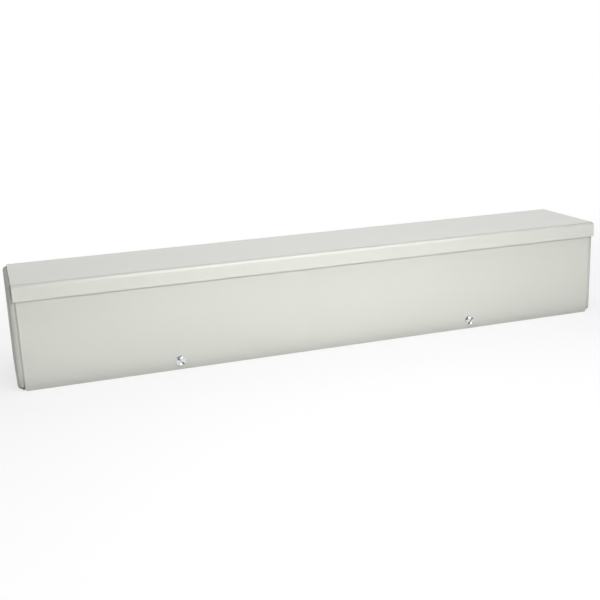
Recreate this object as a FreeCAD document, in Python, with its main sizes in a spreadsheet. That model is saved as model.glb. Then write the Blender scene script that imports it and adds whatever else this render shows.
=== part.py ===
"""Screw-cover wireway trough: a folded steel body with a drip lip, a flanged plate in
each end, a front cover tucked up behind the lip and two hex washer head screws.

Frame: X runs along the trough, the cover faces -Y, +Z is up. The origin is the
centre of the footprint on the floor. Sizes are in millimetres.
"""
import os

import FreeCAD
import Part
import Sketcher

V = FreeCAD.Vector

# Lengths closer than this count as equal.
NEAR = 1e-6

# How far the slot of each cover screw is turned, in degrees.
LEFT_SLOT_TURN = -45
RIGHT_SLOT_TURN = 50

# Driving dimensions, each written once. The text becomes the cell's content.
DRIVING = [
    ("body_length", "609.6", "length of the folded sheet, 24 in"),
    ("outer_height", "101.6", "height over the top sheet, 4 in"),
    ("outer_depth", "101.6", "depth from the lip's face to the back, 4 in"),
    ("sheet", "1.5", "thickness of all folded sheet, 16 gauge"),
    ("bend_inside", "2.4", "inside radius of every bend, 3/32 in"),
    ("lip_drop", "15", "height of the drip lip"),
    ("lip_stand", "5.2", "how far the lip's face stands in front of the cover"),
    ("flange_rise", "20", "height of the turned-up flange behind the cover"),
    ("plate_flange", "14", "depth of the end plate's flanges, over its face"),
    ("flange_gap", "1", "space between the turned-up flange and the end plate"),
    ("cover_inset", "2.4", "cover edge inside the end of the folded sheet"),
    ("cover_lift", "0.3", "cover's lower edge above the floor"),
    ("cover_top_gap", "3", "space over the cover's upper edge"),
    ("cover_corner", "2", "radius of the cover's lower corners"),
    ("screw_spacing", "313", "distance between the two cover screws"),
    ("screw_height", "9", "screw axis above the floor"),
    ("screw_major", "4.8", "screw shank diameter, number 10"),
    ("screw_length", "9.5", "shank length under the head, 3/8 in"),
    ("thread_gap", "0.05", "radial gap between shank and flange hole"),
    ("cover_hole_gap", "0.5", "radial gap between shank and cover hole"),
    ("washer_width", "10.4", "diameter of the head's washer"),
    ("washer_thick", "0.8", "thickness of the head's washer"),
    ("hex_flats", "7.9", "head width across flats, 5/16 in"),
    ("head_height", "3.2", "head height over the washer's seat"),
    ("slot_width", "1.3", "width of the driver slot"),
    ("slot_depth", "1.1", "depth of the driver slot"),
    ("mount_pitch_x", "508", "back holes, distance along the trough"),
    ("mount_pitch_z", "50.8", "back holes, distance up the back"),
    ("mount_hole", "7.2", "diameter of the back holes, for 1/4 in screws"),
]

# Sizes that follow from the driving ones, so that neighbouring parts always meet.
DERIVED = [
    ("bend_outside", "=bend_inside + sheet"),
    ("body_half", "=body_length / 2"),
    ("plate_face", "=body_half + bend_outside"),
    ("plate_rim", "=plate_face - plate_flange"),
    ("flange_end", "=plate_rim - flange_gap"),
    ("half_depth", "=outer_depth / 2"),
    ("cover_face", "=half_depth - lip_stand"),
    ("front_plane", "=cover_face - sheet"),
    ("front_tangent", "=front_plane - bend_outside"),
    ("under_top", "=outer_height - sheet"),
    ("cover_half", "=body_half - cover_inset"),
    ("cover_top", "=under_top - cover_top_gap"),
    ("mount_middle", "=outer_height / 2"),
    ("hex_reach", "=hex_flats / sqrt(3)"),
]

doc = FreeCAD.newDocument("wireway_trough")
sheet = doc.addObject("Spreadsheet::Sheet", "Sizes")
for row, (alias, text, note) in enumerate(DRIVING, start=1):
    sheet.set("A%d" % row, alias)
    sheet.set("B%d" % row, text)
    sheet.set("C%d" % row, note)
    sheet.setAlias("B%d" % row, alias)
for row, (alias, text) in enumerate(DERIVED, start=len(DRIVING) + 2):
    sheet.set("A%d" % row, alias)
    sheet.set("B%d" % row, text)
    sheet.setAlias("B%d" % row, alias)
doc.recompute()

NAMES = [item[0] for item in DRIVING] + [item[0] for item in DERIVED]


def size(alias):
    """Present value of one cell."""
    return float(sheet.get(alias))


def bound(text):
    """Expression text with every alias led by the sheet's name."""
    words = text.replace("(", " ( ").replace(")", " ) ").split()
    return " ".join("Sizes." + word if word in NAMES else word for word in words)


def plane(body, role):
    """One of the body's own origin planes."""
    for feature in body.Origin.OriginFeatures:
        if feature.Role == role:
            return feature
    raise RuntimeError("no plane " + role)


def new_body(label):
    body = doc.addObject("PartDesign::Body", label)
    body.Label = label
    return body


def new_sketch(body, name, role, offset=None):
    """Empty sketch on an origin plane, moved along its normal by an expression."""
    sketch = body.newObject("Sketcher::SketchObject", name)
    sketch.AttachmentSupport = (plane(body, role), [""])
    sketch.MapMode = "FlatFace"
    if offset:
        sketch.setExpression("AttachmentOffset.Base.z", bound(offset))
    doc.recompute()
    return sketch


def dimension(sketch, kind, picks, text):
    """Dimension driven by an expression over the sheet's cells."""
    value = evaluate(text)
    index = sketch.addConstraint(Sketcher.Constraint(kind, *picks, value))
    sketch.setExpression("Constraints[%d]" % index, bound(text))


def evaluate(text):
    """Number that an expression over the cells stands for."""
    value = sheet.evalExpression(bound(text))
    return float(getattr(value, "Value", value))


def stepped_outline(sketch, corners):
    """Closed outline of level and upright lines through corners given as expressions.

    Each corner is placed from the origin, along the sketch's own two axes.
    """
    points = [V(evaluate(u), evaluate(v), 0) for u, v in corners]
    count = len(points)
    lines = []
    for i in range(count):
        segment = Part.LineSegment(points[i], points[(i + 1) % count])
        lines.append(sketch.addGeometry(segment, False))
    for i in range(count):
        joint = Sketcher.Constraint("Coincident", lines[i], 2, lines[(i + 1) % count], 1)
        sketch.addConstraint(joint)
    for i in range(count):
        start = points[i]
        end = points[(i + 1) % count]
        level = abs(start.y - end.y) < abs(start.x - end.x)
        sketch.addConstraint(Sketcher.Constraint("Horizontal" if level else "Vertical", lines[i]))
        if level:
            place(sketch, "DistanceY", lines[i], corners[i][1])
        else:
            place(sketch, "DistanceX", lines[i], corners[i][0])
    return lines


def place(sketch, kind, line, text, vertex=1):
    """Distance of a point from the sketch's origin along one axis, of either sign."""
    value = evaluate(text)
    if abs(value) < NEAR:
        axis = -1 if kind == "DistanceY" else -2
        sketch.addConstraint(Sketcher.Constraint("PointOnObject", line, vertex, axis))
    elif value > 0:
        dimension(sketch, kind, (-1, 1, line, vertex), text)
    else:
        dimension(sketch, kind, (line, vertex, -1, 1), "0 - ( " + text + " )")


def circle(sketch, u, v, diameter):
    """Circle with its centre and diameter driven by expressions."""
    shape = Part.Circle(V(evaluate(u), evaluate(v), 0), V(0, 0, 1), evaluate(diameter) / 2)
    index = sketch.addGeometry(shape, False)
    place(sketch, "DistanceX", index, u, 3)
    place(sketch, "DistanceY", index, v, 3)
    dimension(sketch, "Diameter", (index,), diameter)
    return index


def pad(body, sketch, name, length, symmetric=False, flip=False):
    """Pad driven by a length expression."""
    feature = body.newObject("PartDesign::Pad", name)
    feature.Profile = sketch
    feature.setExpression("Length", bound(length))
    if symmetric:
        feature.SideType = "Symmetric"
    feature.Reversed = flip
    doc.recompute()
    return feature


def pocket(body, sketch, name, length, flip=False):
    """Pocket that has to take material away."""
    before = body.Shape.Volume
    feature = body.newObject("PartDesign::Pocket", name)
    feature.Profile = sketch
    feature.setExpression("Length", bound(length))
    feature.Reversed = flip
    doc.recompute()
    if body.Shape.Volume > before - NEAR:
        raise RuntimeError(name + " removes nothing")
    return feature


def edges_along(feature, axis, places):
    """Names of the straight edges along an axis that pass through given places.

    A place leaves out the axis's own coordinate, so it holds the other two.
    """
    others = [i for i in range(3) if i != axis]
    names = []
    for number, edge in enumerate(feature.Shape.Edges, start=1):
        ends = [vertex.Point for vertex in edge.Vertexes]
        if len(ends) != 2:
            continue
        if any(abs(ends[0][i] - ends[1][i]) > NEAR for i in others):
            continue
        for spot in places:
            if all(abs(ends[0][i] - spot[k]) < NEAR for k, i in enumerate(others)):
                names.append("Edge%d" % number)
    return names


def edges_at(feature, x):
    """Names of the edges that lie in the plane across the trough at x."""
    names = []
    for number, edge in enumerate(feature.Shape.Edges, start=1):
        if all(abs(vertex.X - x) < NEAR for vertex in edge.Vertexes):
            names.append("Edge%d" % number)
    return names


def round_edges(body, base, name, edges, radius):
    """Rounding of named edges by a bound radius."""
    feature = body.newObject("PartDesign::Fillet", name)
    feature.Base = (base, edges)
    feature.setExpression("Radius", bound(radius))
    doc.recompute()
    return feature


def build_trough():
    """Drip lip, top, back, bottom and turned-up screw flange, folded from one sheet."""
    body = new_body("trough_body")

    # Section of the fold with sharp corners, in the plane across the trough.
    section = new_sketch(body, "trough_section", "YZ_Plane")
    corners = [
        ("0 - half_depth", "outer_height - lip_drop"),
        ("0 - half_depth", "outer_height"),
        ("half_depth", "outer_height"),
        ("half_depth", "0"),
        ("0 - front_plane", "0"),
        ("0 - front_plane", "flange_rise"),
        ("sheet - front_plane", "flange_rise"),
        ("sheet - front_plane", "sheet"),
        ("half_depth - sheet", "sheet"),
        ("half_depth - sheet", "under_top"),
        ("sheet - half_depth", "under_top"),
        ("sheet - half_depth", "outer_height - lip_drop"),
    ]
    stepped_outline(section, corners)
    fold = pad(body, section, "trough_fold", "body_length", symmetric=True)

    half = size("half_depth")
    front = size("front_plane")
    top = size("outer_height")
    thick = size("sheet")
    outside = [(-half, top), (half, top), (half, 0.0), (-front, 0.0)]
    inside = [
        (thick - half, top - thick),
        (half - thick, top - thick),
        (half - thick, thick),
        (thick - front, thick),
    ]
    inner_edges = edges_along(fold, 0, inside)
    inner_bends = round_edges(body, fold, "trough_inner_bends", inner_edges, "bend_inside")
    outer_edges = edges_along(inner_bends, 0, outside)
    round_edges(body, inner_bends, "trough_outer_bends", outer_edges, "bend_outside")

    # The flange and its bend stop short of both ends, to leave room for the plates.
    relief = new_sketch(body, "flange_relief_outline", "XZ_Plane", "front_tangent")
    right_end = ("flange_end", "body_half + sheet")
    left_end = ("0 - flange_end", "0 - body_half - sheet")
    for inner_side, outer_side in (left_end, right_end):
        notch = [
            (inner_side, "0 - sheet"),
            (outer_side, "0 - sheet"),
            (outer_side, "flange_rise + sheet"),
            (inner_side, "flange_rise + sheet"),
        ]
        stepped_outline(relief, notch)
    pocket(body, relief, "flange_relief", "bend_outside + sheet", flip=True)

    # Four holes in the back for fastening to a wall.
    wall = new_sketch(body, "mount_centres", "XZ_Plane")
    for side in ("0 - mount_pitch_x / 2", "mount_pitch_x / 2"):
        for level in ("mount_middle - mount_pitch_z / 2", "mount_middle + mount_pitch_z / 2"):
            circle(wall, side, level, "mount_hole")
    pocket(body, wall, "mount_holes", "half_depth + sheet")

    # Two holes in the turned-up flange for the cover screws.
    rail = new_sketch(body, "thread_centres", "XZ_Plane")
    for side in ("0 - screw_spacing / 2", "screw_spacing / 2"):
        circle(rail, side, "screw_height", "screw_major + 2 * thread_gap")
    pocket(body, rail, "thread_holes", "half_depth", flip=True)
    return body


def build_end_plate():
    """Right end plate: a shallow flanged pan with closed corners.

    Its flanges lie against the inside of the fold, and its rounded face stands out of
    the fold's end by one bend. The front flange is the cover's seat.
    """
    body = new_body("end_plate_right")
    outline = new_sketch(body, "plate_outline", "YZ_Plane", "plate_rim")
    corners = [
        ("0 - front_plane", "sheet"),
        ("half_depth - sheet", "sheet"),
        ("half_depth - sheet", "under_top"),
        ("0 - front_plane", "under_top"),
    ]
    stepped_outline(outline, corners)
    pad(body, outline, "plate_block", "plate_flange")

    # The hollow between the flanges leaves one sheet all round.
    hollow = new_sketch(body, "plate_hollow_outline", "YZ_Plane", "plate_rim")
    hollow_corners = [
        ("sheet - front_plane", "2 * sheet"),
        ("half_depth - 2 * sheet", "2 * sheet"),
        ("half_depth - 2 * sheet", "under_top - sheet"),
        ("sheet - front_plane", "under_top - sheet"),
    ]
    stepped_outline(hollow, hollow_corners)
    cavity = pocket(body, hollow, "plate_hollow", "plate_flange - sheet", flip=True)

    # The inner bends come first, because a sharp hollow could break through a rounded corner.
    face = size("plate_face")
    thick = size("sheet")
    front = -size("front_plane")
    back = size("half_depth") - thick
    low = thick
    high = size("under_top")
    inside = [
        (front + thick, low + thick),
        (back - thick, low + thick),
        (back - thick, high - thick),
        (front + thick, high - thick),
    ]
    inner_edges = edges_along(cavity, 0, inside) + edges_at(cavity, face - thick)
    inner_bends = round_edges(body, cavity, "plate_inner_bends", inner_edges, "bend_inside")
    outside = [(front, low), (back, low), (back, high), (front, high)]
    outer_edges = edges_along(inner_bends, 0, outside) + edges_at(inner_bends, face)
    round_edges(body, inner_bends, "plate_outer_bends", outer_edges, "bend_outside")
    return body


def build_other_plate(right):
    """Left end plate, the right one's mirror image."""
    left = doc.addObject("Part::Mirroring", "end_plate_left")
    left.Label = "end_plate_left"
    left.Source = right
    left.Normal = V(1, 0, 0)
    left.Base = V(0, 0, 0)
    doc.recompute()
    return left


def build_cover():
    """Flat cover with rounded lower corners and a hole for each screw."""
    body = new_body("front_cover")
    outline = new_sketch(body, "cover_outline", "XZ_Plane", "front_plane")
    corners = [
        ("0 - cover_half", "cover_lift"),
        ("cover_half", "cover_lift"),
        ("cover_half", "cover_top"),
        ("0 - cover_half", "cover_top"),
    ]
    stepped_outline(outline, corners)
    for side in ("0 - screw_spacing / 2", "screw_spacing / 2"):
        circle(outline, side, "screw_height", "screw_major + 2 * cover_hole_gap")
    panel = pad(body, outline, "cover_panel", "sheet")
    half = size("cover_half")
    low = size("cover_lift")
    lower = edges_along(panel, 1, [(-half, low), (half, low)])
    round_edges(body, panel, "cover_corners", lower, "cover_corner")
    return body


def build_screw(label, side, turn):
    """Slotted hex washer head screw, seated on the cover, head towards -Y."""
    body = new_body(label)

    disc = new_sketch(body, label + "_washer_outline", "XY_Plane")
    circle(disc, "0", "0", "washer_width")
    pad(body, disc, label + "_washer", "washer_thick")

    hexagon = new_sketch(body, label + "_hex_outline", "XY_Plane")
    reach = size("hex_reach")
    rim = Part.Circle(V(0, 0, 0), V(0, 0, 1), reach)
    rim_index = hexagon.addGeometry(rim, True)
    hexagon.addConstraint(Sketcher.Constraint("Coincident", rim_index, 3, -1, 1))
    dimension(hexagon, "Radius", (rim_index,), "hex_reach")
    points = []
    for i in range(6):
        rotation = FreeCAD.Rotation(V(0, 0, 1), 60 * i)
        points.append(rotation.multVec(V(reach, 0, 0)))
    lines = []
    for i in range(6):
        segment = Part.LineSegment(points[i], points[(i + 1) % 6])
        lines.append(hexagon.addGeometry(segment, False))
    for i in range(6):
        joint = Sketcher.Constraint("Coincident", lines[i], 2, lines[(i + 1) % 6], 1)
        hexagon.addConstraint(joint)
        hexagon.addConstraint(Sketcher.Constraint("PointOnObject", lines[i], 1, rim_index))
        if i:
            hexagon.addConstraint(Sketcher.Constraint("Equal", lines[0], lines[i]))
    hexagon.addConstraint(Sketcher.Constraint("PointOnObject", lines[0], 1, -1))
    pad(body, hexagon, label + "_hex", "head_height")

    shank = new_sketch(body, label + "_shank_outline", "XY_Plane")
    circle(shank, "0", "0", "screw_major")
    pad(body, shank, label + "_shank", "screw_length", flip=True)

    slot = new_sketch(body, label + "_slot_outline", "XY_Plane", "head_height - slot_depth")
    slot_corners = [
        ("0 - hex_flats", "0 - slot_width / 2"),
        ("hex_flats", "0 - slot_width / 2"),
        ("hex_flats", "slot_width / 2"),
        ("0 - hex_flats", "slot_width / 2"),
    ]
    stepped_outline(slot, slot_corners)
    pocket(body, slot, label + "_slot", "slot_depth", flip=True)

    forward = FreeCAD.Rotation(V(1, 0, 0), 90)
    body.Placement.Rotation = forward.multiply(FreeCAD.Rotation(V(0, 0, 1), turn))
    body.setExpression("Placement.Base.x", bound(side))
    body.setExpression("Placement.Base.y", bound("0 - cover_face"))
    body.setExpression("Placement.Base.z", bound("screw_height"))
    doc.recompute()
    return body


def check_and_export(pieces):
    """Stops on any faulty object, then writes one file for each piece."""
    doc.recompute()
    for item in doc.Objects:
        if "Invalid" in item.State or "Error" in item.State:
            raise RuntimeError("faulty object " + item.Name)
    os.makedirs("parts", exist_ok=True)
    for piece in pieces:
        shape = piece.Shape
        if shape.isNull() or not shape.isValid() or len(shape.Solids) != 1:
            raise RuntimeError("faulty shape " + piece.Label)
        shape.exportStep(os.path.join("parts", piece.Label + ".step"))
        box = shape.BoundBox
        print(
            piece.Label,
            "volume %.1f" % shape.Volume,
            "x %.2f %.2f" % (box.XMin, box.XMax),
            "y %.2f %.2f" % (box.YMin, box.YMax),
            "z %.2f %.2f" % (box.ZMin, box.ZMax),
        )


trough = build_trough()
plate_right = build_end_plate()
plate_left = build_other_plate(plate_right)
cover = build_cover()
screw_left = build_screw("cover_screw_left", "0 - screw_spacing / 2", LEFT_SLOT_TURN)
screw_right = build_screw("cover_screw_right", "screw_spacing / 2", RIGHT_SLOT_TURN)
check_and_export([trough, plate_left, plate_right, cover, screw_left, screw_right])
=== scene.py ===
"""Looks of a screw-cover wireway trough: satin grey paint on folded sheet, bright zinc
screws along the cover's lower edge, and a plain white studio.

Lengths are in metres. X runs along the trough, the cover faces -Y and +Z is up.
"""
import math

import bmesh
import bpy
from bpy.props import FloatProperty, FloatVectorProperty, PointerProperty
from bpy.types import NodeSocket, Operator, Panel, PropertyGroup
from mathutils import Matrix, Vector


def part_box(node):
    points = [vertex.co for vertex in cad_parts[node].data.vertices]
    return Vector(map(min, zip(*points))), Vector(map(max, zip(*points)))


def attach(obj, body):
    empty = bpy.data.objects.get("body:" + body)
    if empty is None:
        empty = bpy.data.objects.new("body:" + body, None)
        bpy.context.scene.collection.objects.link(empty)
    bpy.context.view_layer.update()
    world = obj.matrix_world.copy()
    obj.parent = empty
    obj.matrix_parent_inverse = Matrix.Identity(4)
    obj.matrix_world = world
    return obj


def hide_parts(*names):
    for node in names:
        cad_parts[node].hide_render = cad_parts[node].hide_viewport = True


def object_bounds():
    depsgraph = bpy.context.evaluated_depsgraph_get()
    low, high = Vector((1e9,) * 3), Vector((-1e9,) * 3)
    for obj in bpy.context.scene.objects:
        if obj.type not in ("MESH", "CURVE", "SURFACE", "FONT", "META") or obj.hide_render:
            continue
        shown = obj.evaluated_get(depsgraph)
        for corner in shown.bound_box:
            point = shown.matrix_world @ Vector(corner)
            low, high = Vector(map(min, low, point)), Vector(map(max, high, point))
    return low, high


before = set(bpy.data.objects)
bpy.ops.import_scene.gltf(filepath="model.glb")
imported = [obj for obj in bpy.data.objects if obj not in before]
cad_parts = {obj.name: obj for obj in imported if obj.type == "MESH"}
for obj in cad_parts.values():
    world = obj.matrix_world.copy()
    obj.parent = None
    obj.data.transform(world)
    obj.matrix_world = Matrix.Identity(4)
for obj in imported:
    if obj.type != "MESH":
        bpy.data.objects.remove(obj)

bl_info = {
    "name": "Wireway Trough Looks",
    "version": (1, 0, 0),
    "blender": (4, 5, 0),
    "location": "3D View > Sidebar > Trough",
    "description": "Paints the trough's sheet metal, makes its screws and sets up a white studio",
    "category": "Object",
}

MM = 0.001
CAD_LOW, CAD_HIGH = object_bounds()
BODY = "root"
SCREW_NODES = ("cover_screw_left", "cover_screw_right")
COVER_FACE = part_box("front_cover")[0].y
SCREW_LOW, SCREW_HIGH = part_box(SCREW_NODES[0])
WASHER_DIAMETER = SCREW_HIGH.x - SCREW_LOW.x
HEAD_HEIGHT = COVER_FACE - SCREW_LOW.y
SHANK_LENGTH = SCREW_HIGH.y - COVER_FACE

# Sheet pieces. Points this close are one point, and faces this level are one flat. Edges
# sharper than the edge angle are softened in so many steps.
WELD_DISTANCE = 1e-6
FLAT_ANGLE = math.radians(0.5)
EDGE_ANGLE = math.radians(40)
EDGE_STEPS = 2
FLAT_WEIGHT = 100

# Screws. Their named sizes are inputs of the node tree, and the rest are shares of those.
SCREW_SIZES = (
    "Washer Diameter",
    "Washer Thickness",
    "Hex Flats",
    "Head Height",
    "Dish Diameter",
    "Dish Depth",
    "Slot Width",
    "Slot Depth",
    "Shank Diameter",
    "Shank Length",
)
WASHER_TAPER = 0.95
BURIED_SHARE = 0.5
CROWN_TOP = 0.80
CROWN_FOOT = 1.73
TIP_WIDTH = 0.78
TIP_LENGTH = 0.4
SLOT_RUN = 1.5
DISH_RIM = 1.055
DISH_FLOOR = 0.78
DISH_CUT = 1.25
# Reach of the slot's mark, and the painted shade in the slot, which is weaker, at this strength,
# across the middle of the dish.
MARK_REACH = 1.02
LIT_REACH = 0.55
DISH_SLOT_SHADE = 0.3
HEX_SIDES = 6
WASHER_SIDES = 64
DISH_SIDES = 48
SHANK_SIDES = 40
SLOT_POINTS = 25
CRISP_ANGLE = math.radians(25)

# Gloss of the paint where it is satin, and on the end plates' shaded copy, which has less gloss.
SATIN_SPECULAR = 0.5
SATIN_COAT = 0.8
END_SPECULAR = 0.2
END_COAT = 0.0

# Zinc plate, as shares of its own tone: in its clouds, and inside the slot, where it is darkened as
# painted shade.
CLOUD_TONE = 0.9
SLOT_SHADE_TONE = 0.22

# Studio. The floor lies a little under the part so that nothing flickers.
WHITE = (1.0, 1.0, 1.0, 1.0)
FLOOR_REACH = 40.0
FLOOR_GAP = 0.1 * MM
FLOOR_ROUGHNESS = 0.9
# Painted contact shade: the floor's tone close to the trough, seen only by bounced light.
CONTACT_SHADE_TONE = (0.02, 0.02, 0.02, 1.0)
LAMPS = ("key", "top", "back", "rear", "glint")
SENSOR_WIDTH = 36.0
NEAREST_SEEN = 0.01
FARTHEST_SEEN = 200.0

# Grid on which the nodes of a tree are laid out in the node editor.
NODE_WIDTH = 220
NODE_HEIGHT = 340
NODE_ROWS = 4


class TroughPaint(PropertyGroup):
    """Paint on the folded sheet."""

    colour: FloatVectorProperty(
        name="Colour",
        description="Main tone of the grey paint",
        subtype="COLOR",
        size=3,
        min=0.0,
        max=1.0,
        default=(0.640, 0.652, 0.596),
    )
    shade: FloatVectorProperty(
        name="Shade",
        description="Slightly deeper tone that drifts through the main one",
        subtype="COLOR",
        size=3,
        min=0.0,
        max=1.0,
        default=(0.626, 0.639, 0.586),
    )
    gloss_low: FloatProperty(
        name="Smoothest",
        description="Roughness where the film is smoothest",
        default=0.34,
        min=0.05,
        max=1.0,
        subtype="FACTOR",
    )
    gloss_high: FloatProperty(
        name="Roughest",
        description="Roughness where the film is dullest",
        default=0.40,
        min=0.05,
        max=1.0,
        subtype="FACTOR",
    )
    # The end plates get a shaded copy of the paint: its tone is darkened as painted shade, and it
    # is rougher.
    end_shade_tone: FloatProperty(
        name="End Shade Tone",
        description="Share of the tone on the end plates, where the paint went on dry",
        default=0.90,
        min=0.5,
        max=1.0,
        subtype="FACTOR",
    )
    end_roughness: FloatProperty(
        name="End Roughness",
        description="Roughness added on the end plates, where the paint went on dry",
        default=0.15,
        min=0.0,
        max=0.5,
        subtype="FACTOR",
    )
    peel_size: FloatProperty(
        name="Peel Size",
        description="Width of the dimples in the sprayed film",
        default=1.6 * MM,
        min=0.2 * MM,
        max=10 * MM,
        unit="LENGTH",
        precision=5,
    )
    peel_depth: FloatProperty(
        name="Peel Depth",
        description="Depth of the dimples in the sprayed film",
        default=0.004 * MM,
        min=0.0,
        max=1 * MM,
        unit="LENGTH",
        precision=6,
    )
    edge_round: FloatProperty(
        name="Edge Round",
        description="Width by which paint softens every cut edge of the sheet",
        default=0.35 * MM,
        min=0.02 * MM,
        max=0.6 * MM,
        unit="LENGTH",
        precision=5,
    )


class TroughScrews(PropertyGroup):
    """Slotted hex washer head screws that hold the cover."""

    washer_diameter: FloatProperty(
        name="Washer Diameter",
        description="Width of the washer formed on the head",
        default=WASHER_DIAMETER,
        unit="LENGTH",
        precision=5,
    )
    washer_thickness: FloatProperty(
        name="Washer Thickness",
        description="Thickness of the washer at its rim",
        default=0.8 * MM,
        unit="LENGTH",
        precision=5,
    )
    hex_flats: FloatProperty(
        name="Hex Flats",
        description="Head width across the flats",
        default=7.9 * MM,
        unit="LENGTH",
        precision=5,
    )
    head_height: FloatProperty(
        name="Head Height",
        description="Height of the head over the cover's face",
        default=HEAD_HEIGHT,
        unit="LENGTH",
        precision=5,
    )
    dish_diameter: FloatProperty(
        name="Dish Diameter",
        description="Width of the shallow dish pressed into the head's top",
        default=6.1 * MM,
        unit="LENGTH",
        precision=5,
    )
    dish_depth: FloatProperty(
        name="Dish Depth",
        description="Depth of the dish in the head's top",
        default=0.5 * MM,
        unit="LENGTH",
        precision=5,
    )
    slot_width: FloatProperty(
        name="Slot Width",
        description="Width of the driver slot",
        default=1.3 * MM,
        unit="LENGTH",
        precision=5,
    )
    slot_depth: FloatProperty(
        name="Slot Depth",
        description="Depth of the driver slot",
        default=1.1 * MM,
        unit="LENGTH",
        precision=5,
    )
    shank_diameter: FloatProperty(
        name="Shank Diameter",
        description="Outside diameter of the threaded shank",
        default=4.8 * MM,
        unit="LENGTH",
        precision=5,
    )
    shank_length: FloatProperty(
        name="Shank Length",
        description="Length of the shank behind the cover's face",
        default=SHANK_LENGTH,
        unit="LENGTH",
        precision=5,
    )
    turn_left: FloatProperty(
        name="Left Turn",
        description="How far the left screw happens to be turned",
        default=math.radians(-45),
        subtype="ANGLE",
    )
    turn_right: FloatProperty(
        name="Right Turn",
        description="How far the right screw happens to be turned",
        default=math.radians(50),
        subtype="ANGLE",
    )
    colour: FloatVectorProperty(
        name="Zinc",
        description="Tone of the zinc plate",
        subtype="COLOR",
        size=3,
        min=0.0,
        max=1.0,
        default=(0.80, 0.82, 0.84),
    )


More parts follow.
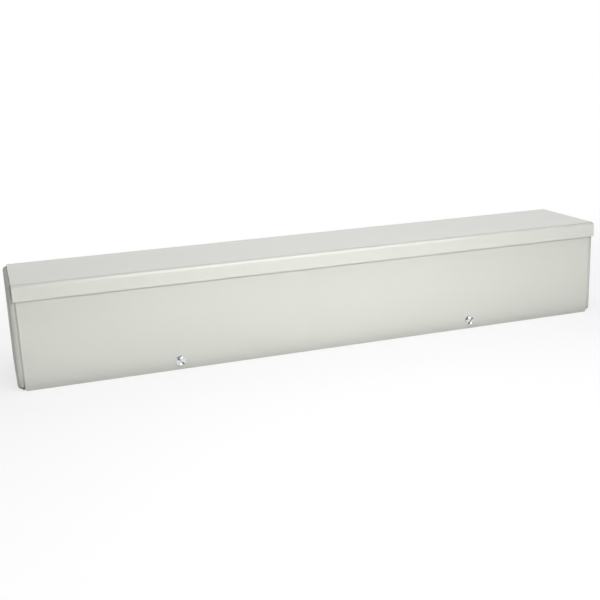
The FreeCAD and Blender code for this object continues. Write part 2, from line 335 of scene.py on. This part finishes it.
class TroughStage(PropertyGroup):
    """Floor, light and camera."""

    floor_tone: FloatVectorProperty(
        name="Floor",
        description="Tone of the floor",
        subtype="COLOR",
        size=3,
        min=0.0,
        max=1.0,
        default=(0.86, 0.86, 0.86),
    )
    floor_white: FloatProperty(
        name="Floor White",
        description="How far the floor beside the trough is seen as plain white",
        default=0.75,
        min=0.0,
        max=1.0,
        subtype="FACTOR",
    )
    white_reach: FloatProperty(
        name="White Reach",
        description="Distance from the trough at which the floor is plain white",
        default=0.6,
        min=0.05,
        max=10.0,
        unit="LENGTH",
    )
    contact_reach: FloatProperty(
        name="Contact Reach",
        description="Distance from the trough over which the floor throws back less light",
        default=0.014,
        min=0.001,
        max=1.0,
        unit="LENGTH",
    )
    key_place: FloatVectorProperty(
        name="Key Place",
        description="Where the main light stands, before the cover",
        subtype="TRANSLATION",
        size=3,
        default=(-0.005, -0.60, 0.32),
    )
    key_length: FloatProperty(
        name="Key Length",
        description="Length of the main light, along the trough",
        default=0.5,
        min=0.05,
        max=5.0,
        unit="LENGTH",
    )
    key_width: FloatProperty(
        name="Key Width",
        description="Width of the main light, narrow so that the lip's shadow is a thin line",
        default=0.14,
        min=0.05,
        max=5.0,
        unit="LENGTH",
    )
    key_power: FloatProperty(
        name="Key Power",
        description="Power of the main light",
        default=2.55,
        min=0.0,
        unit="POWER",
    )
    top_place: FloatVectorProperty(
        name="Top Place",
        description="Where the light over the top hangs",
        subtype="TRANSLATION",
        size=3,
        default=(0.07, -0.22, 0.85),
    )
    top_length: FloatProperty(
        name="Top Length",
        description="Length of the light over the top, along the trough",
        default=0.5,
        min=0.05,
        max=5.0,
        unit="LENGTH",
    )
    top_width: FloatProperty(
        name="Top Width",
        description="Width of the light over the top",
        default=0.3,
        min=0.05,
        max=5.0,
        unit="LENGTH",
    )
    top_power: FloatProperty(
        name="Top Power",
        description="Power of the light over the top",
        default=2.0,
        min=0.0,
        unit="POWER",
    )
    back_place: FloatVectorProperty(
        name="Back Place",
        description="Where the light over the back hangs",
        subtype="TRANSLATION",
        size=3,
        default=(0.03, 0.50, 0.85),
    )
    back_length: FloatProperty(
        name="Back Length",
        description="Length of the light over the back, along the trough",
        default=0.5,
        min=0.05,
        max=5.0,
        unit="LENGTH",
    )
    back_width: FloatProperty(
        name="Back Width",
        description="Width of the light over the back",
        default=0.5,
        min=0.05,
        max=5.0,
        unit="LENGTH",
    )
    back_power: FloatProperty(
        name="Back Power",
        description="Power of the light over the back",
        default=1.7,
        min=0.0,
        unit="POWER",
    )
    rear_place: FloatVectorProperty(
        name="Rear Place",
        description="Where the light behind the trough stands",
        subtype="TRANSLATION",
        size=3,
        default=(0.0, 0.75, 0.20),
    )
    rear_length: FloatProperty(
        name="Rear Length",
        description="Length of the light behind the trough",
        default=0.7,
        min=0.05,
        max=5.0,
        unit="LENGTH",
    )
    rear_width: FloatProperty(
        name="Rear Width",
        description="Width of the light behind the trough",
        default=0.3,
        min=0.05,
        max=5.0,
        unit="LENGTH",
    )
    rear_power: FloatProperty(
        name="Rear Power",
        description="Power of the light behind the trough",
        default=2.0,
        min=0.0,
        unit="POWER",
    )
    glint_place: FloatVectorProperty(
        name="Glint Place",
        description="Where the light hangs that only reflections show",
        subtype="TRANSLATION",
        size=3,
        default=(0.30, -0.62, 1.00),
    )
    glint_length: FloatProperty(
        name="Glint Length",
        description="Length of the light that only reflections show",
        default=0.9,
        min=0.05,
        max=5.0,
        unit="LENGTH",
    )
    glint_width: FloatProperty(
        name="Glint Width",
        description="Width of the light that only reflections show",
        default=0.6,
        min=0.05,
        max=5.0,
        unit="LENGTH",
    )
    glint_power: FloatProperty(
        name="Glint Power",
        description="Power of the light that only reflections show",
        default=6.8,
        min=0.0,
        unit="POWER",
    )
    world_light: FloatProperty(
        name="Room Light",
        description="Strength of the even light from all round",
        default=0.28,
        min=0.0,
        max=1.0,
        subtype="FACTOR",
    )
    ceiling_light: FloatProperty(
        name="Ceiling Light",
        description="How bright the ceiling is in reflections",
        default=0.0,
        min=0.0,
        max=1.0,
        subtype="FACTOR",
    )
    wall_top: FloatProperty(
        name="Wall Top",
        description="Height angle up to which reflections show the white wall",
        default=math.radians(12),
        subtype="ANGLE",
    )
    ceiling_edge: FloatProperty(
        name="Ceiling Edge",
        description="Height angle from which reflections show the ceiling",
        default=math.radians(25),
        subtype="ANGLE",
    )
    camera_place: FloatVectorProperty(
        name="Camera Place",
        description="Where the camera stands",
        subtype="TRANSLATION",
        size=3,
        default=(-0.3200, -0.9081, 0.3012),
    )
    camera_turn: FloatProperty(
        name="Camera Turn",
        description="Heading of the camera, clockwise from straight at the cover",
        default=math.radians(18.42),
        subtype="ANGLE",
    )
    camera_dip: FloatProperty(
        name="Camera Dip",
        description="How far the camera looks down",
        default=math.radians(15.18),
        subtype="ANGLE",
    )
    camera_roll: FloatProperty(
        name="Camera Roll",
        description="How far the camera leans over",
        default=math.radians(-2.15),
        subtype="ANGLE",
    )
    camera_lens: FloatProperty(
        name="Lens",
        description="Focal length of the camera",
        default=56.87,
        min=10.0,
        max=300.0,
        unit="CAMERA",
    )


def new_object(name, data):
    """Puts an object for the data into the scene."""
    item = bpy.data.objects.new(name, data)
    bpy.context.scene.collection.objects.link(item)
    return item


def plain_mesh(piece):
    """Turns a piece and its modifiers into one plain mesh, and gives that back."""
    bpy.context.view_layer.update()
    shaped = piece.evaluated_get(bpy.context.evaluated_depsgraph_get())
    finished = bpy.data.meshes.new_from_object(shaped)
    if not finished.polygons:
        raise RuntimeError(piece.name + " came out empty")
    piece.modifiers.clear()
    piece.data = finished
    finished.name = piece.name
    return finished


def node_maker(tree):
    """Empties a node tree, and gives back a function that adds nodes to it.

    That function takes a kind of node, what goes into its inputs, and its settings. An input
    gets a link where that is another node's output, and otherwise a value.
    """
    tree.nodes.clear()

    def make(kind, inputs=None, **settings):
        count = len(tree.nodes)
        node = tree.nodes.new(kind)
        node.location = (NODE_WIDTH * (count // NODE_ROWS), -NODE_HEIGHT * (count % NODE_ROWS))
        for key, value in settings.items():
            setattr(node, key, value)
        for socket, value in (inputs or {}).items():
            if isinstance(value, NodeSocket):
                tree.links.new(value, node.inputs[socket])
            else:
                node.inputs[socket].default_value = value
        return node

    return make


def number(make, operation, *values):
    """Works out a number from plain numbers and other nodes' outputs."""
    return make("ShaderNodeMath", dict(enumerate(values)), operation=operation).outputs[0]


def new_material(name):
    """Gives a new material, and the function that adds nodes to it."""
    material = bpy.data.materials.new(name)
    material.use_nodes = True
    return material, node_maker(material.node_tree)


def grey_paint(paint, dry=False):
    """Sprayed satin paint: a slow drift of tone, uneven gloss and fine dimples.

    On the end plates it is a shaded copy: it has little gloss, and its tone is a little deeper as
    painted shade.
    """
    name = "dry_grey_paint" if dry else "satin_grey_paint"
    if name in bpy.data.materials:
        return bpy.data.materials[name]
    material, make = new_material(name)
    place = make("ShaderNodeTexCoord").outputs["Object"]
    # On the end plates the tone is darkened as painted shade.
    depth = paint.end_shade_tone if dry else 1.0
    added = paint.end_roughness if dry else 0.0
    shade = [channel * depth for channel in paint.shade]
    colour = [channel * depth for channel in paint.colour]

    drift = make("ShaderNodeTexNoise", {"Vector": place, "Scale": 9.0, "Detail": 3.0})
    spread = make(
        "ShaderNodeMapRange",
        {"Value": drift.outputs["Fac"], "From Min": 0.35, "From Max": 0.65},
    )
    tone = make(
        "ShaderNodeMix",
        {"Factor": spread.outputs["Result"], "A": (*shade, 1.0), "B": (*colour, 1.0)},
        data_type="RGBA",
    )

    cloud = make("ShaderNodeTexNoise", {"Vector": place, "Scale": 70.0, "Detail": 4.0})
    gloss = make(
        "ShaderNodeMapRange",
        {
            "Value": cloud.outputs["Fac"],
            "From Min": 0.2,
            "From Max": 0.8,
            "To Min": paint.gloss_low + added,
            "To Max": paint.gloss_high + added,
        },
    )

    peel = make(
        "ShaderNodeTexNoise",
        {"Vector": place, "Scale": 1.0 / paint.peel_size, "Detail": 1.5},
    )
    dimples = make(
        "ShaderNodeBump",
        {"Height": peel.outputs["Fac"], "Strength": 1.0, "Distance": paint.peel_depth},
    )

    shader = make(
        "ShaderNodeBsdfPrincipled",
        {
            "Base Color": tone.outputs["Result"],
            "Roughness": gloss.outputs["Result"],
            "Normal": dimples.outputs["Normal"],
            "Metallic": 0.0,
            "IOR": 1.5,
            "Specular IOR Level": END_SPECULAR if dry else SATIN_SPECULAR,
            "Coat Weight": END_COAT if dry else SATIN_COAT,
            "Coat Roughness": 0.14,
        },
    )
    make("ShaderNodeOutputMaterial", {"Surface": shader.outputs["BSDF"]})
    return material


def zinc_plate(screws):
    """Bright zinc plate, faintly clouded and finely grained, and darkened inside the slot as
    painted shade.
    """
    material, make = new_material("bright_zinc_plate")
    place = make("ShaderNodeTexCoord").outputs["Object"]
    clouded = [channel * CLOUD_TONE for channel in screws.colour]
    shaded = [channel * SLOT_SHADE_TONE for channel in screws.colour]

    cloud = make("ShaderNodeTexNoise", {"Vector": place, "Scale": 520.0, "Detail": 3.0})
    tone = make(
        "ShaderNodeMix",
        {"Factor": cloud.outputs["Fac"], "A": (*clouded, 1.0), "B": (*screws.colour, 1.0)},
        data_type="RGBA",
    )
    # Painted shade: the slot's walls and floor are darkened in colour.
    inside = make("ShaderNodeAttribute", attribute_name="slot_inside")
    slot_shaded_tone = make(
        "ShaderNodeMix",
        {"Factor": inside.outputs["Fac"], "A": tone.outputs["Result"], "B": (*shaded, 1.0)},
        data_type="RGBA",
    )

    gloss = make(
        "ShaderNodeMapRange",
        {"Value": cloud.outputs["Fac"], "To Min": 0.14, "To Max": 0.28},
    )

    grain = make("ShaderNodeTexNoise", {"Vector": place, "Scale": 4200.0, "Detail": 2.0})
    bump = make(
        "ShaderNodeBump",
        {"Height": grain.outputs["Fac"], "Strength": 0.6, "Distance": 0.006 * MM},
    )

    shader = make(
        "ShaderNodeBsdfPrincipled",
        {
            "Base Color": slot_shaded_tone.outputs["Result"],
            "Roughness": gloss.outputs["Result"],
            "Normal": bump.outputs["Normal"],
            "Metallic": 1.0,
        },
    )
    make("ShaderNodeOutputMaterial", {"Surface": shader.outputs["BSDF"]})
    return material


def sheet_piece(name, nodes, paint, dry=False):
    """Painted copy of folded sheet nodes, with softened edges and smooth bends."""
    merged = bmesh.new()
    for node in nodes:
        merged.from_mesh(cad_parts[node].data)
    bmesh.ops.remove_doubles(merged, verts=merged.verts, dist=WELD_DISTANCE)
    bmesh.ops.dissolve_limit(
        merged,
        angle_limit=FLAT_ANGLE,
        verts=merged.verts,
        edges=merged.edges,
    )
    mesh = bpy.data.meshes.new(name)
    merged.to_mesh(mesh)
    merged.free()
    mesh.shade_smooth()
    piece = new_object(name, mesh)

    soften = piece.modifiers.new("softened_edges", "BEVEL")
    soften.width = paint.edge_round
    soften.segments = EDGE_STEPS
    soften.limit_method = "ANGLE"
    soften.angle_limit = EDGE_ANGLE
    soften.miter_outer = "MITER_ARC"
    # Flat faces keep their own direction, and only the bends and edges shade round.
    flatten = piece.modifiers.new("true_flats", "WEIGHTED_NORMAL")
    flatten.mode = "FACE_AREA"
    flatten.weight = FLAT_WEIGHT
    finished = plain_mesh(piece)
    finished.materials.clear()
    finished.materials.append(grey_paint(paint, dry))

    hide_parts(*nodes)
    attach(piece, BODY)


def screw_tree():
    """Node tree that stands one slotted hex washer head screw at every point."""
    tree = bpy.data.node_groups.new("hex_washer_head_screws", "GeometryNodeTree")
    tree.is_modifier = True
    face = tree.interface
    face.new_socket("Geometry", in_out="INPUT", socket_type="NodeSocketGeometry")
    for label in SCREW_SIZES:
        face.new_socket(label, in_out="INPUT", socket_type="NodeSocketFloat")
    face.new_socket("Plating", in_out="INPUT", socket_type="NodeSocketMaterial")
    face.new_socket("Geometry", in_out="OUTPUT", socket_type="NodeSocketGeometry")
    make = node_maker(tree)
    given = make("NodeGroupInput").outputs

    def share(size, part):
        return number(make, "MULTIPLY", size, part)

    def raised(mesh, height):
        shift = make("ShaderNodeCombineXYZ", {"Z": height})
        move = make(
            "GeometryNodeTransform",
            {"Geometry": mesh, "Translation": shift.outputs["Vector"]},
        )
        return move.outputs["Geometry"]

    def tapered(sides, top, bottom, height):
        sizes = {"Vertices": sides, "Radius Top": top, "Radius Bottom": bottom, "Depth": height}
        return make("GeometryNodeMeshCone", sizes).outputs["Mesh"]

    def combined(operation, meshes, base=None):
        node = make("GeometryNodeMeshBoolean", operation=operation, solver="EXACT")
        if base is not None:
            tree.links.new(base, node.inputs["Mesh 1"])
        for mesh in meshes:
            tree.links.new(mesh, node.inputs["Mesh 2"])
        return node.outputs["Mesh"]

    washer_radius = share(given["Washer Diameter"], 0.5)
    washer_top = share(washer_radius, WASHER_TAPER)
    washer = tapered(WASHER_SIDES, washer_top, washer_radius, given["Washer Thickness"])

    # The head's block and the shank end inside the washer, so no two faces lie in one plane.
    buried = share(given["Washer Thickness"], BURIED_SHARE)
    hex_reach = number(make, "DIVIDE", given["Hex Flats"], math.sqrt(3))
    block_height = number(make, "SUBTRACT", given["Head Height"], buried)
    block = raised(tapered(HEX_SIDES, hex_reach, hex_reach, block_height), buried)
    # A shallow cone takes the corners off the head's top.
    crown_top = share(hex_reach, CROWN_TOP)
    crown_foot = share(hex_reach, CROWN_FOOT)
    crown = tapered(WASHER_SIDES, crown_top, crown_foot, given["Head Height"])
    head = combined("INTERSECT", [block, crown])

    # The shank is a rod with a blunt point.
    shank_radius = share(given["Shank Diameter"], 0.5)
    tip_radius = share(shank_radius, TIP_WIDTH)
    tip_length = share(shank_radius, TIP_LENGTH)
    bare_length = number(make, "SUBTRACT", given["Shank Length"], tip_length)
    rod_length = number(make, "ADD", bare_length, buried)
    rod_base = share(bare_length, -1)
    rod = raised(tapered(SHANK_SIDES, shank_radius, shank_radius, rod_length), rod_base)
    tip_base = share(given["Shank Length"], -1)
    tip = raised(tapered(SHANK_SIDES, shank_radius, tip_radius, tip_length), tip_base)
    whole = combined("UNION", [washer, head, rod, tip])

    cutter_size = make(
        "ShaderNodeCombineXYZ",
        {
            "X": share(given["Hex Flats"], SLOT_RUN),
            "Y": given["Slot Width"],
            "Z": share(given["Slot Depth"], 2),
        },
    )
    cutter = make(
        "GeometryNodeMeshCube",
        {"Size": cutter_size.outputs["Vector"], "Vertices X": SLOT_POINTS},
    )
    slot = raised(cutter.outputs["Mesh"], given["Head Height"])

    # The dish has a sloping rim. Its cutter stands out over the head by a quarter of its depth.
    dish_rim = share(given["Dish Diameter"], 0.5 * DISH_RIM)
    dish_floor = share(given["Dish Diameter"], 0.5 * DISH_FLOOR)
    dish_height = share(given["Dish Depth"], DISH_CUT)
    dish_base = number(make, "SUBTRACT", given["Head Height"], given["Dish Depth"])
    dish = raised(tapered(DISH_SIDES, dish_rim, dish_floor, dish_height), dish_base)
    screw = combined("DIFFERENCE", [slot, dish], base=whole)

    # The slot's walls and floor are marked for painted shade: the plating's colour is darkened
    # there to stand in for the shade in the recess. The slot is deep at its ends and shallow across
    # the dish, where more light gets in, so the painted shade is weaker across the dish.
    position = make("GeometryNodeInputPosition").outputs["Position"]
    place = make("ShaderNodeSeparateXYZ", {"Vector": position}).outputs
    across = number(make, "ABSOLUTE", place["Y"])
    half_width = share(given["Slot Width"], 0.5 * MARK_REACH)
    between = number(make, "LESS_THAN", across, half_width)
    marked_depth = share(given["Slot Depth"], MARK_REACH)
    slot_floor = number(make, "SUBTRACT", given["Head Height"], marked_depth)
    above = number(make, "GREATER_THAN", place["Z"], slot_floor)
    inside = number(make, "MULTIPLY", between, above)
    slot_shade_share = make(
        "ShaderNodeMapRange",
        {
            "Value": number(make, "ABSOLUTE", place["X"]),
            "From Min": share(dish_floor, LIT_REACH),
            "From Max": dish_floor,
            "To Min": DISH_SLOT_SHADE,
        },
        interpolation_type="SMOOTHSTEP",
    )
    mark = make(
        "GeometryNodeStoreNamedAttribute",
        {
            "Geometry": screw,
            "Name": "slot_inside",
            "Value": number(make, "MULTIPLY", inside, slot_shade_share.outputs["Result"]),
        },
        data_type="FLOAT",
        domain="FACE",
    )

    turn = make("GeometryNodeInputNamedAttribute", {"Name": "turn"}, data_type="FLOAT_VECTOR")
    spots = make(
        "GeometryNodeInstanceOnPoints",
        {
            "Points": given["Geometry"],
            "Instance": mark.outputs["Geometry"],
            "Rotation": turn.outputs["Attribute"],
        },
    )
    real = make("GeometryNodeRealizeInstances", {"Geometry": spots.outputs["Instances"]})
    plated = make(
        "GeometryNodeSetMaterial",
        {"Geometry": real.outputs["Geometry"], "Material": given["Plating"]},
    )
    make("NodeGroupOutput", {"Geometry": plated.outputs["Geometry"]})
    return tree


class TROUGH_OT_fold_body(Operator):
    """Paints the folded body with its drip lip"""

    bl_idname = "trough.fold_body"
    bl_label = "Folded Body"

    def execute(self, context):
        sheet_piece("folded_body", ["trough_body"], context.scene.trough_paint)
        return {"FINISHED"}


class TROUGH_OT_end_plates(Operator):
    """Paints the two end plates"""

    bl_idname = "trough.end_plates"
    bl_label = "End Plates"

    def execute(self, context):
        paint = context.scene.trough_paint
        for side in ("left", "right"):
            # The end plates take the shaded copy of the paint, with painted shade in its tone.
            sheet_piece("painted_end_" + side, ["end_plate_" + side], paint, dry=True)
        return {"FINISHED"}


class TROUGH_OT_cover(Operator):
    """Paints the flat front cover"""

    bl_idname = "trough.cover"
    bl_label = "Front Cover"

    def execute(self, context):
        sheet_piece("painted_cover", ["front_cover"], context.scene.trough_paint)
        return {"FINISHED"}


class TROUGH_OT_screws(Operator):
    """Makes the slotted hex washer head screws on the cover"""

    bl_idname = "trough.screws"
    bl_label = "Cover Screws"

    def execute(self, context):
        screws = context.scene.trough_screws
        places = []
        for node in SCREW_NODES:
            low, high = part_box(node)
            middle = (low + high) / 2
            places.append(Vector((middle.x, COVER_FACE, middle.z)))
        mesh = bpy.data.meshes.new("cover_screws")
        mesh.from_pydata(places, [], [])
        # The tree's screw stands on +Z, and the cover faces forward.
        forward = Matrix.Rotation(math.radians(90), 3, "X")
        turns = mesh.attributes.new("turn", "FLOAT_VECTOR", "POINT")
        for index, angle in enumerate((screws.turn_left, screws.turn_right)):
            about = Matrix.Rotation(angle, 3, "Z")
            turns.data[index].vector = (forward @ about).to_euler()
        piece = new_object("cover_screws", mesh)

        values = {"Plating": zinc_plate(screws)}
        for label in SCREW_SIZES:
            values[label] = getattr(screws, label.lower().replace(" ", "_"))
        grow = piece.modifiers.new("screws", "NODES")
        grow.node_group = screw_tree()
        for socket in grow.node_group.interface.items_tree:
            if socket.in_out == "INPUT" and socket.name in values:
                grow[socket.identifier] = values[socket.name]
        finished = plain_mesh(piece)
        finished.shade_smooth()
        finished.set_sharp_from_angle(angle=CRISP_ANGLE)
        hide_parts(*SCREW_NODES)
        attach(piece, BODY)
        return {"FINISHED"}


def studio_white(stage):
    """White floor that keeps the trough's shadow and fades to plain white around it."""
    material, make = new_material("studio_white")

    # Distance of a place on the floor from the trough's footprint.
    place = make("ShaderNodeTexCoord").outputs["Object"]
    apart = make("ShaderNodeSeparateXYZ", {"Vector": place}).outputs
    gaps = {}
    for axis, half_size in (("X", CAD_HIGH.x), ("Y", CAD_HIGH.y)):
        reach = number(make, "ABSOLUTE", apart[axis])
        past = number(make, "SUBTRACT", reach, half_size)
        gaps[axis] = number(make, "MAXIMUM", past, 0.0)
    outside = make("ShaderNodeCombineXYZ", gaps).outputs["Vector"]
    distance = make("ShaderNodeVectorMath", {0: outside}, operation="LENGTH").outputs["Value"]

    rays = make("ShaderNodeLightPath").outputs
    seen = number(make, "MAXIMUM", rays["Is Camera Ray"], rays["Is Glossy Ray"])
    seen = number(make, "MAXIMUM", seen, rays["Is Transmission Ray"])

    # Close to the trough the floor's tone is painted darker for bounced light only, a painted
    # contact shade, so the cover's foot lies in shade.
    floor_tone = (*stage.floor_tone, 1.0)
    thrown = make(
        "ShaderNodeMapRange",
        {"Value": distance, "From Max": stage.contact_reach},
        interpolation_type="SMOOTHSTEP",
    )
    bounce = make(
        "ShaderNodeMix",
        {"Factor": thrown.outputs["Result"], "A": CONTACT_SHADE_TONE, "B": floor_tone},
        data_type="RGBA",
    )
    tone = make(
        "ShaderNodeMix",
        {"Factor": seen, "A": bounce.outputs["Result"], "B": floor_tone},
        data_type="RGBA",
    )
    shader = make(
        "ShaderNodeBsdfPrincipled",
        {
            "Base Color": tone.outputs["Result"],
            "Roughness": FLOOR_ROUGHNESS,
            "Specular IOR Level": 0.0,
        },
    )

    fade = make(
        "ShaderNodeMapRange",
        {"Value": distance, "From Max": stage.white_reach, "To Min": stage.floor_white},
        interpolation_type="SMOOTHSTEP",
    )
    share = number(make, "MULTIPLY", fade.outputs["Result"], seen)
    glow = make("ShaderNodeEmission", {"Strength": 1.0})
    blend = make(
        "ShaderNodeMixShader",
        {"Fac": share, 1: shader.outputs["BSDF"], 2: glow.outputs["Emission"]},
    )

    # From underneath the floor lets the view through to the object.
    side = make("ShaderNodeNewGeometry").outputs["Backfacing"]
    clear = make("ShaderNodeBsdfTransparent")
    one_way = make(
        "ShaderNodeMixShader",
        {"Fac": side, 1: blend.outputs["Shader"], 2: clear.outputs["BSDF"]},
    )
    make("ShaderNodeOutputMaterial", {"Surface": one_way.outputs["Shader"]})
    return material


class TROUGH_OT_stage(Operator):
    """Sets up the floor, the soft light and the camera"""

    bl_idname = "trough.stage"
    bl_label = "Studio"

    def execute(self, context):
        stage = context.scene.trough_stage
        self.floor(stage)
        self.lights(stage)
        self.room(context, stage)
        self.camera(context, stage)
        context.scene.view_settings.view_transform = "Standard"
        return {"FINISHED"}

    def floor(self, stage):
        """One wide floor under the trough."""
        level = CAD_LOW.z - FLOOR_GAP
        ring = ((-1, -1), (1, -1), (1, 1), (-1, 1))
        corners = [(x * FLOOR_REACH, y * FLOOR_REACH, level) for x, y in ring]
        mesh = bpy.data.meshes.new("studio_floor")
        mesh.from_pydata(corners, [], [(0, 1, 2, 3)])
        mesh.materials.append(studio_white(stage))
        floor = new_object("studio_floor", mesh)

    def lights(self, stage):
        """Soft lights before the cover, over the top, over the back and behind, and a glint."""
        middle = (CAD_LOW + CAD_HIGH) / 2
        for name in LAMPS:
            lamp = bpy.data.lights.new(name + "_light", "AREA")
            lamp.shape = "RECTANGLE"
            lamp.size = getattr(stage, name + "_length")
            lamp.size_y = getattr(stage, name + "_width")
            lamp.energy = getattr(stage, name + "_power")
            holder = new_object(name + "_light", lamp)
            place = Vector(getattr(stage, name + "_place"))
            holder.location = place
            aim = Vector((place.x, middle.y, middle.z)) - place
            holder.rotation_euler = aim.to_track_quat("-Z", "Y").to_euler()
            holder.visible_camera = False
            # The glint is only mirrored, as a bright line along the lip's bend, and lights nothing.
            holder.visible_glossy = name == "glint"
            holder.visible_diffuse = name != "glint"

    def room(self, context, stage):
        """White all round as it is seen, with an even light and a dim ceiling in reflections."""
        world = bpy.data.worlds.new("white_room")
        context.scene.world = world
        world.use_nodes = True
        make = node_maker(world.node_tree)
        rays = make("ShaderNodeLightPath").outputs
        direction = make("ShaderNodeTexCoord").outputs["Generated"]
        height = make("ShaderNodeSeparateXYZ", {"Vector": direction}).outputs["Z"]
        ceiling = make(
            "ShaderNodeMapRange",
            {
                "Value": height,
                "From Min": math.sin(stage.wall_top),
                "From Max": math.sin(stage.ceiling_edge),
                "To Min": 1.0,
                "To Max": stage.ceiling_light,
            },
            interpolation_type="SMOOTHSTEP",
        )
        mirrored = make(
            "ShaderNodeMapRange",
            {
                "Value": rays["Is Glossy Ray"],
                "To Min": stage.world_light,
                "To Max": ceiling.outputs["Result"],
            },
        )
        seen = number(make, "MAXIMUM", rays["Is Camera Ray"], rays["Is Transmission Ray"])
        level = make(
            "ShaderNodeMapRange",
            {"Value": seen, "To Min": mirrored.outputs["Result"], "To Max": 1.0},
        )
        walls = make(
            "ShaderNodeBackground",
            {"Color": WHITE, "Strength": level.outputs["Result"]},
        )
        make("ShaderNodeOutputWorld", {"Surface": walls.outputs["Background"]})

    def camera(self, context, stage):
        """Camera before the trough's left end, looking along it and a little down."""
        turn = stage.camera_turn
        dip = stage.camera_dip
        ahead = Vector(
            (
                math.sin(turn) * math.cos(dip),
                math.cos(turn) * math.cos(dip),
                -math.sin(dip),
            )
        )
        right = Vector((math.cos(turn), -math.sin(turn), 0.0))
        up = right.cross(ahead)
        lean = Matrix.Rotation(-stage.camera_roll, 3, ahead)
        turned = Matrix((lean @ right, lean @ up, -ahead)).transposed()
        lens = bpy.data.cameras.new("photo_view")
        lens.sensor_width = SENSOR_WIDTH
        lens.lens = stage.camera_lens
        lens.clip_start = NEAREST_SEEN
        lens.clip_end = FARTHEST_SEEN
        camera = new_object("photo_view", lens)
        camera.matrix_world = Matrix.Translation(stage.camera_place) @ turned.to_4x4()
        context.scene.camera = camera


class TROUGH_PT_looks(Panel):
    """Buttons and values for the trough's looks"""

    bl_label = "Wireway Trough"
    bl_idname = "TROUGH_PT_looks"
    bl_space_type = "VIEW_3D"
    bl_region_type = "UI"
    bl_category = "Trough"

    def draw(self, context):
        scene = context.scene
        groups = (
            (scene.trough_paint, (TROUGH_OT_fold_body, TROUGH_OT_end_plates, TROUGH_OT_cover)),
            (scene.trough_screws, (TROUGH_OT_screws,)),
            (scene.trough_stage, (TROUGH_OT_stage,)),
        )
        for group, operators in groups:
            box = self.layout.box()
            for name in group.__annotations__:
                box.prop(group, name)
            for operator in operators:
                box.operator(operator.bl_idname)


CLASSES = (
    TroughPaint,
    TroughScrews,
    TroughStage,
    TROUGH_OT_fold_body,
    TROUGH_OT_end_plates,
    TROUGH_OT_cover,
    TROUGH_OT_screws,
    TROUGH_OT_stage,
    TROUGH_PT_looks,
)


def register():
    for item in CLASSES:
        bpy.utils.register_class(item)
    bpy.types.Scene.trough_paint = PointerProperty(type=TroughPaint)
    bpy.types.Scene.trough_screws = PointerProperty(type=TroughScrews)
    bpy.types.Scene.trough_stage = PointerProperty(type=TroughStage)


def unregister():
    del bpy.types.Scene.trough_stage
    del bpy.types.Scene.trough_screws
    del bpy.types.Scene.trough_paint
    for item in reversed(CLASSES):
        bpy.utils.unregister_class(item)


def main():
    register()
    bpy.ops.trough.fold_body()
    bpy.ops.trough.end_plates()
    bpy.ops.trough.cover()
    bpy.ops.trough.screws()
    bpy.ops.trough.stage()


if __name__ == "__main__":
    main()
